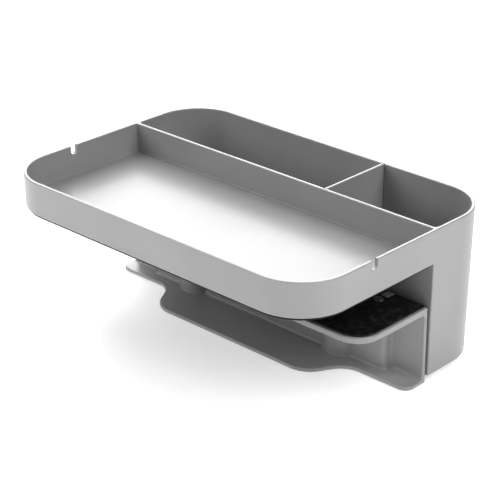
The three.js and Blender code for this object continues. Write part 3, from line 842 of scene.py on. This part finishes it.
blockScrew = {"headRadius": 2.2, "headHeight": 1.6, "headEdge": 0.35, "shank": 1.4, "tip": 19.1, "gap": 0.3,
              "cross": 1.2}


def makeBlockScrews(s):
    for label, z in screwHeights:
        wallY = shell["dividerBack"] + shell["lean"] * (shell["rim"] - z)
        headTop = wallY + s["gap"] + s["headHeight"]
        first = layBack(makeScrew("block_screw", s, headTop - s["tip"]))
        placeBothSides(first, "block_screw_head_{}_" + label, "block_screw_{}_" + label,
                       "zinc_steel", "organiser", y=headTop, z=z)


coverScrew = {"top": 21.95, "headRadius": 2.3, "headHeight": 1.2, "headEdge": 0.1, "shank": 1, "tip": 16.7,
              "cross": 1.2}


def makeCoverScrews(s):
    first = layBack(makeScrew("cover_screw", s, s["top"] - s["tip"], sunk=True))
    for number, (x, z) in enumerate(coverScrewSpots, 1):
        piece = copyOf(first, "cover_screw_head_" + str(number), (x, s["top"], z))
        place(piece, "zinc_steel", "jaw", "cover_screw_" + str(number))
    bpy.data.objects.remove(first)


makePadScrews(padScrew)
makeBlockScrews(blockScrew)
makeCoverScrews(coverScrew)
print("screws done")


guidePin = {"bottom": 0.2, "headRadius": 3.6, "headHeight": 1, "headEdge": 0.3, "radius": 2, "top": 44.4,
            "tipEdge": 0.4, "slot": {"halfLength": 2.4, "halfWidth": 0.4, "depth": 0.5}}


def makeGuidePins(s):
    spot, bottom, slot = (0, jaw["pinY"]), s["bottom"], s["slot"]
    first = addRod("pin", spot, s["headRadius"], bottom, bottom + s["headHeight"], segments=40)
    roundEdges(first, s["headEdge"], 3, level(bottom))
    stem = addRod("stem", spot, s["radius"], bottom + s["headHeight"] / 2, s["top"], segments=32)
    roundEdges(stem, s["tipEdge"], 3, level(s["top"]))
    combine(first, [stem])
    carve(first, addBlock("slot", (-slot["halfLength"], spot[1] - slot["halfWidth"], bottom - 1),
                          (slot["halfLength"], spot[1] + slot["halfWidth"], bottom + slot["depth"])))
    placeBothSides(first, "guide_pin_steel_{}", "guide_pin_{}", "zinc_steel", "jaw")


bumper = {"bottom": 4.2, "top": 5.2, "outer": 3.9, "inner": 2.35, "edge": 0.3}


def makeBumpers(s):
    spot = (0, jaw["pinY"])
    first = addRod("ring", spot, s["outer"], s["bottom"], s["top"], segments=40)
    carve(first, addRod("hole", spot, s["inner"], s["bottom"] - 1, s["top"] + 1, segments=32))
    roundEdges(first, s["edge"], 4, sharp)
    placeBothSides(first, "stop_bumper_ring_{}", "stop_bumper_{}", "black_rubber", "jaw")


slideBlock = {
    "bottom": 5.5,
    "top": 17.5,
    "headRadius": 9.3,
    "headBack": 19.95,
    "headEdge": 0.5,
    "neck": 8,             # widths of the neck and the foot
    "foot": 18,
    "footFront": 22.3,
    "footBack": 24.0,
    "footEdge": 0.4,
    "bore": 2.25,
    "pilot": {"radius": 1.65, "front": 18.8},
}


def makeSlideBlocks(s):
    low, high = s["bottom"], s["top"]
    first = addRod("slide", (0, jaw["bossY"]), s["headRadius"], low, high, segments=64)
    roundEdges(first, s["headEdge"], 3, sharp)
    carve(first, addBlock("trim", (-20, s["headBack"], 0), (20, 60, 60)),
          addRod("bore", (0, jaw["pinY"]), s["bore"], 0, 60, segments=40))
    neck = addBlock("neck", (-s["neck"] / 2, s["headBack"] - 1, low + 0.1),
                    (s["neck"] / 2, s["footBack"] - 0.4, high - 0.1))
    foot = addBlock("foot", (-s["foot"] / 2, s["footFront"], low), (s["foot"] / 2, s["footBack"], high))
    roundEdges(foot, s["footEdge"], 3, sharp)
    combine(first, [neck, foot])
    pilot = s["pilot"]
    carve(first, *[addRod("pilot", (0, z), pilot["radius"], pilot["front"], s["footBack"] + 6, "Y", 24)
                   for label, z in screwHeights])
    placeBothSides(first, "slide_block_body_{}", "slide_block_{}", "nylon", "organiser")


coverPlate = {
    "front": 20.25,
    "back": 22.05,
    "half": 87.9,
    "low": 2.8,
    "high": 42.2,
    "corner": 1,
    "edge": 0.3,
    "slot": {"low": 5.0, "high": 35.3, "half": 4.4, "lowCorner": 1, "highCorner": 2},
    "hole": 1.35,
    "sink": 2.55,
    "sinkDepth": 1.3,
    "sinkNarrowing": 0.5,
}


def makeCover(s):
    front, back, slot = s["front"], s["back"], s["slot"]
    plate = addBlock("jaw_cover_plate", (-s["half"], front, s["low"]), (s["half"], back, s["high"]))
    roundEdges(plate, s["corner"], 4, lambda a, b, bend: abs(a.y - b.y) > 1)
    for x in (-screwX, screwX):
        cutter = addBlock("slot", (x - slot["half"], front - 1, slot["low"]),
                          (x + slot["half"], back + 1, slot["high"]))
        roundEdges(cutter, slot["lowCorner"], 4, lambda a, b, bend: abs(a.y - b.y) > 1 and a.z < 20)
        roundEdges(cutter, slot["highCorner"], 5, lambda a, b, bend: abs(a.y - b.y) > 1 and a.z > 20)
        carve(plate, cutter)
    roundEdges(plate, s["edge"], 3, sharp)
    for x, z in coverScrewSpots:
        sink = addRod("sink", (x, z), s["sink"], back - s["sinkDepth"], back + 0.2, "Y", 40)
        pick(sink, "vert", lambda p: p.y < back - 1)
        bpy.ops.transform.resize(value=(s["sinkNarrowing"], 1, s["sinkNarrowing"]),
                                 center_override=(x * mm, 0, z * mm))
        bpy.ops.object.mode_set(mode="OBJECT")
        carve(plate, addRod("hole", (x, z), s["hole"], front - 1, back + 1, "Y", 32), sink)
    place(plate, "grey_abs", "jaw", "jaw_cover")


makeGuidePins(guidePin)
makeBumpers(bumper)
makeSlideBlocks(slideBlock)
makeCover(coverPlate)
print("slide parts done")


spring = {
    "wire": 0.4,           # the wire's radius
    "wireSides": 12,
    "radius": 3.1,
    "turns": 7,
    "stepsPerTurn": 30,
    "low": 18.2,
    "high": 41.9,
    "anchor": 42.3,        # the end that stays with the jaw's top plate
    "keep": 0.31,
}


# a ring of wire drawn as its section, then wound up by the Screw modifier
def makeSpring(s, side, sign):
    bpy.ops.object.select_all(action="DESELECT")
    bpy.ops.mesh.primitive_circle_add(vertices=s["wireSides"], radius=s["wire"] * mm,
                                      location=(s["radius"] * mm, 0, 0), rotation=(math.pi / 2, 0, 0))
    wire = bpy.context.object
    wire.name = "jaw_spring_wire_" + side
    bpy.ops.object.transform_apply(location=True, rotation=True, scale=True)
    winding = wire.modifiers.new("winding", "SCREW")
    winding.angle = math.tau * s["turns"]
    winding.screw_offset = (s["high"] - s["low"]) * mm
    winding.steps = winding.render_steps = s["stepsPerTurn"] * s["turns"]
    winding.use_merge_vertices = False
    bpy.ops.object.modifier_apply(modifier="winding")
    pick(wire, "edge", lambda a, b, bend: False)
    bpy.ops.mesh.select_non_manifold()
    bpy.ops.mesh.fill()
    bpy.ops.mesh.select_all(action="SELECT")
    bpy.ops.mesh.normals_make_consistent(inside=False)
    bpy.ops.transform.translate(value=(sign * screwX * mm, jaw["pinY"] * mm, s["low"] * mm))
    bpy.ops.object.mode_set(mode="OBJECT")
    place(wire, "zinc_steel", "jaw", "jaw_spring_" + side, angle=50)
    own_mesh(wire)


for side, sign in sides:
    makeSpring(spring, side, sign)
print("springs done")


# A white card on a light table: matte, with an even glow from under it that grows past the object.
floorLook = {
    "size": 6.0,
    "below": 0.0001,
    "roughness": 0.9,
    "card": "#E8E8E8",
    "fleck": "#ECECEC",
    "fleckMm": 2.5,
    "glow": 0.42,
    "farGlow": 1.1,
    "near": 0.45,          # metres from the middle, where the glow starts to grow
    "far": 1.2,
}


def makeFloor(s):
    bpy.ops.object.select_all(action="DESELECT")
    bpy.ops.mesh.primitive_plane_add(size=s["size"], location=(0, 0, -s["below"]))
    floor = bpy.context.object
    floor.name = "floor"
    bpy.ops.object.transform_apply(location=True)
    material, tree, shader, coords = startMaterial("matte white card", {
        "Roughness": s["roughness"], "Emission Color": (1.0, 1.0, 1.0, 1.0)})
    fibres = addNode(tree, "ShaderNodeTexNoise", sockets={"Scale": 1000 / s["fleckMm"]},
                     links={"Vector": coords})
    ramp = addNode(tree, "ShaderNodeValToRGB", links={"Fac": fibres.outputs["Fac"]})
    distance = addNode(tree, "ShaderNodeVectorMath", values={"operation": "LENGTH"}, links={0: coords})
    glow = addNode(tree, "ShaderNodeMapRange",
                   sockets={"From Min": s["near"], "From Max": s["far"],
                            "To Min": s["glow"], "To Max": s["farGlow"]},
                   links={"Value": distance.outputs["Value"]})
    feed(tree, shader, {"Base Color": blend(ramp, (0.0, 1.0), (s["card"], s["fleck"])),
                        "Emission Strength": glow.outputs["Result"]})
    floor.data.materials.append(material)
    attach(floor, "jaw")      # the jaw stands on it, so it goes down as the jaw opens


studio = {
    "backdrop": 1.0,       # seen behind the floor's far edge, and gives no light
    "softboxes": {
        "high key": {"size": 1.5, "power": 19.6, "place": (-0.73, 0.73, 1.23)},
        "low back light": {"size": 1.2, "power": 18.2, "place": (-1.05, 1.05, 0.60)},
        "right side light": {"size": 1.2, "power": 20.6, "place": (1.13, 0.0, 1.13)},
        "left fill": {"size": 1.2, "power": 15.6, "place": (-0.93, -0.93, 0.95)},
        "front fill": {"size": 1.2, "power": 3.6, "place": (0.0, -1.57, 0.33)},
    },
    "aim": (0.0, 0.0, 0.05),
    "contrast": 0.8,       # below 1 deepens the shadows
}


def addSoftbox(name, s, aim):
    data = bpy.data.lights.new(name, "AREA")
    data.shape = "SQUARE"
    data.size = s["size"]
    data.energy = s["power"]
    light = bpy.data.objects.new(name, data)
    light.location = s["place"]
    direction = Vector(aim) - Vector(s["place"])
    light.rotation_euler = direction.to_track_quat("-Z", "Y").to_euler()
    bpy.context.scene.collection.objects.link(light)


def lightStudio(s):
    world = bpy.data.worlds.new("studio")
    world.use_nodes = True
    tree = world.node_tree
    tree.nodes.clear()
    seen = addNode(tree, "ShaderNodeLightPath").outputs["Is Camera Ray"]
    strength = addNode(tree, "ShaderNodeMath", values={"operation": "MULTIPLY"},
                       sockets={1: s["backdrop"]}, links={0: seen})
    background = addNode(tree, "ShaderNodeBackground", sockets={"Color": (1.0, 1.0, 1.0, 1.0)},
                         links={"Strength": strength.outputs["Value"]})
    addNode(tree, "ShaderNodeOutputWorld", links={"Surface": background.outputs["Background"]})
    scene = bpy.context.scene
    scene.world = world
    for name, softbox in s["softboxes"].items():
        addSoftbox(name, softbox, s["aim"])
    scene.view_settings.view_transform = "Standard"
    scene.view_settings.gamma = s["contrast"]


cameraPlace = {
    "location": (0.5725, -0.6055, 0.4420),
    "turn": (64.90, -0.05, 43.20),
    "lens": 117.76,
    "sensor": 36.0,
    "nearest": 0.01,
    "farthest": 50.0,
}


def placeCamera(s):
    data = bpy.data.cameras.new("camera")
    data.lens = s["lens"]
    data.sensor_width = s["sensor"]
    data.clip_start = s["nearest"]
    data.clip_end = s["farthest"]
    camera = bpy.data.objects.new("camera", data)
    camera.location = s["location"]
    camera.rotation_euler = [math.radians(a) for a in s["turn"]]
    scene = bpy.context.scene
    scene.collection.objects.link(camera)
    scene.camera = camera


makeFloor(floorLook)
lightStudio(studio)
placeCamera(cameraPlace)
print("stage ready")
